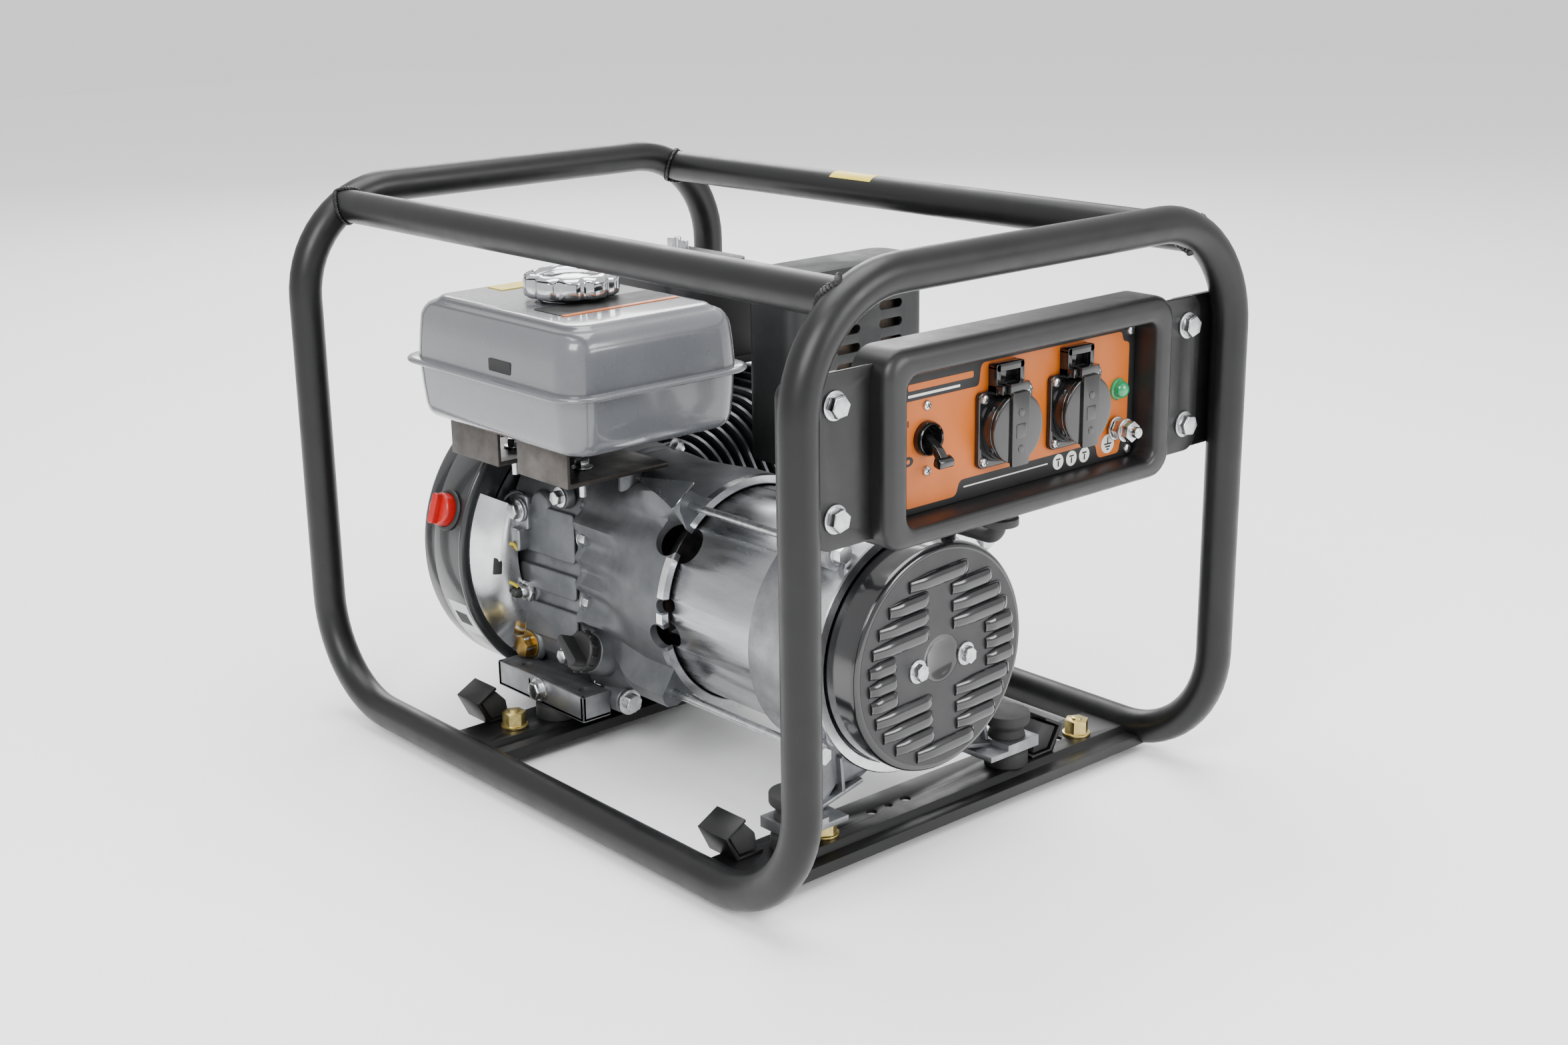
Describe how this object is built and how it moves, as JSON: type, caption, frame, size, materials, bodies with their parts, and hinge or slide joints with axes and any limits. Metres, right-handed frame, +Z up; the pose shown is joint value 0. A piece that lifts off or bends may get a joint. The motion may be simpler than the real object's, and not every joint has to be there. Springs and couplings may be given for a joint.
{
  "type": "portable generator",
  "caption": "Open-frame portable generator: tubular cradle frame, engine with tank and starter, alternator, outlet panel.",
  "frame": {"origin": "centre of the footprint of the bounding box, on the ground under the rubber feet", "axes": "+X towards the alternator end and the outlet panel, along the shaft; +Y towards the cylinder head and muffler; +Z up"},
  "size_m": [0.5948, 0.4304, 0.4294],
  "materials": {
    "frame_paint": "satin",
    "rubber": "matte",
    "zinc": "satin",
    "panel_black": "satin",
    "panel_orange": "satin",
    "socket_black": "gloss",
    "lamp_green": "gloss",
    "bright_aluminium": "brushed",
    "cast_aluminium": "cast",
    "machined_steel": "machined",
    "copper": "satin",
    "cover_black": "gloss",
    "brush_plastic": "matte",
    "ceramic": "glazed",
    "coil_black": "matte",
    "shroud_paint": "satin",
    "red_plastic": "satin",
    "rope": "woven",
    "filter_foam": "matte",
    "exhaust_steel": "heat stained",
    "tank_paint": "gloss",
    "plated_bracket": "satin",
    "chrome": "polished",
    "brass": "satin"
  },
  "bodies": {
    "frame": {"frame_hoop_front": "frame_paint", "frame_hoop_rear": "frame_paint", "top_rails": "frame_paint", "cross_channels": "frame_paint", "panel_tabs": "frame_paint", "rubber_feet": "rubber", "foot_nuts": "zinc", "snubber_brackets": "frame_paint", "vibration_mounts": "rubber", "panel_bezel": "panel_black", "face_plate": "panel_orange", "panel_fasteners": "zinc", "socket_bodies": "socket_black", "breaker_body": "panel_black", "pilot_lamp": "lamp_green", "ground_terminal": "zinc", "panel_lead": "panel_black", "stator_shell": "bright_aluminium", "stator_core": "machined_steel", "stator_winding": "copper", "rotor_bearing": "machined_steel", "rear_bracket": "cast_aluminium", "through_bolts": "zinc", "end_cover": "cover_black", "brush_gear": "brush_plastic", "crankcase": "cast_aluminium", "crankcase_cover": "cast_aluminium", "cylinder_head": "cast_aluminium", "valve_cover": "cover_black", "spark_plug": "ceramic", "ignition_coil": "coil_black", "blower_housing": "shroud_paint", "recoil_housing": "shroud_paint", "piston": "cast_aluminium", "connecting_rod": "cast_aluminium", "carburettor": "cast_aluminium", "air_cleaner": "cover_black", "air_filter": "filter_foam", "muffler": "exhaust_steel", "muffler_guard": "cover_black", "fuel_tank": "tank_paint", "tank_brackets": "plated_bracket", "engine_fasteners": "zinc", "oil_sensor": "brass"},
    "crank": {"crankshaft": "machined_steel", "flywheel": "machined_steel", "rotor": "machined_steel"},
    "cam": {"camshaft": "machined_steel"},
    "starter_handle": {"recoil_handle": "socket_black", "recoil_rope": "rope"},
    "starter_pulley": {"recoil_pulley": "red_plastic"},
    "cap_seat": {"cap_gasket": "rubber"},
    "cap": {"fuel_cap": "chrome"},
    "oil_seat": {"oil_cap_seal": "rubber"},
    "oil_cap": {"oil_filler_cap": "socket_black"},
    "lid_left": {"socket_lid_left": "socket_black"},
    "lid_right": {"socket_lid_right": "socket_black"},
    "breaker_toggle": {"breaker_lever": "panel_black"},
    "run_switch": {"engine_switch": "red_plastic"},
    "choke": {"choke_lever": "socket_black"}
  },
  "joints": [
    {"name": "crank_spin", "type": "hinge", "parent": "frame", "child": "crank", "pos_m": [0, -0.03, 0.137], "axis": [1, 0, 0], "continuous": true},
    {"name": "cam_spin", "type": "hinge", "parent": "frame", "child": "cam", "pos_m": [-0.1, -0.0036, 0.1041], "axis": [1, 0, 0], "continuous": true},
    {"name": "starter_pull", "type": "slide", "parent": "frame", "child": "starter_handle", "axis": [0, 0, 1], "range_m": [0, 0.5], "stiffness_N_per_m": 20, "springref_m": -0.3, "deforming": ["recoil_rope"]},
    {"name": "starter_wind", "type": "hinge", "parent": "frame", "child": "starter_pulley", "pos_m": [-0.232, -0.03, 0.137], "axis": [1, 0, 0], "range_deg": [-10, 500]},
    {"name": "cap_lift", "type": "slide", "parent": "frame", "child": "cap_seat", "axis": [0, 0, 1], "range_m": [0, 0.03]},
    {"name": "cap_turn", "type": "hinge", "parent": "cap_seat", "child": "cap", "pos_m": [-0.082, -0.095, 0.345], "axis": [0, 0, 1], "range_deg": [0, 90]},
    {"name": "oil_cap_pull", "type": "slide", "parent": "frame", "child": "oil_seat", "axis": [0, -0.9397, 0.342], "range_m": [0, 0.07]},
    {"name": "oil_cap_turn", "type": "hinge", "parent": "oil_seat", "child": "oil_cap", "pos_m": [-0.0615, -0.108, 0.081], "axis": [0, -0.9397, 0.342], "range_deg": [0, 360]},
    {"name": "lid_left_open", "type": "hinge", "parent": "frame", "child": "lid_left", "pos_m": [0.28, -0.0155, 0.33], "axis": [0, -1, 0], "range_deg": [0, 95], "stiffness_Nm_per_rad": 0.03, "springref_deg": -28.65},
    {"name": "lid_right_open", "type": "hinge", "parent": "frame", "child": "lid_right", "pos_m": [0.28, 0.0525, 0.33], "axis": [0, -1, 0], "range_deg": [0, 95], "stiffness_Nm_per_rad": 0.03, "springref_deg": -28.65},
    {"name": "breaker_throw", "type": "hinge", "parent": "frame", "child": "breaker_toggle", "pos_m": [0.271, -0.084, 0.3065], "axis": [0, -1, 0], "range_deg": [0, 60]},
    {"name": "run_switch_turn", "type": "hinge", "parent": "frame", "child": "run_switch", "pos_m": [-0.192, -0.14318, 0.17377], "axis": [0, -0.9511, 0.309], "range_deg": [0, 45]},
    {"name": "choke_turn", "type": "hinge", "parent": "frame", "child": "choke", "pos_m": [-0.2, 0.1, 0.257], "axis": [1, 0, 0], "range_deg": [-50, 0]}
  ],
  "couplings": [
    {"joint": "cam_spin", "follows": "crank_spin", "ratio": -0.5},
    {"joint": "starter_wind", "follows": "starter_pull", "rad_per_m": 16.667}
  ]
}
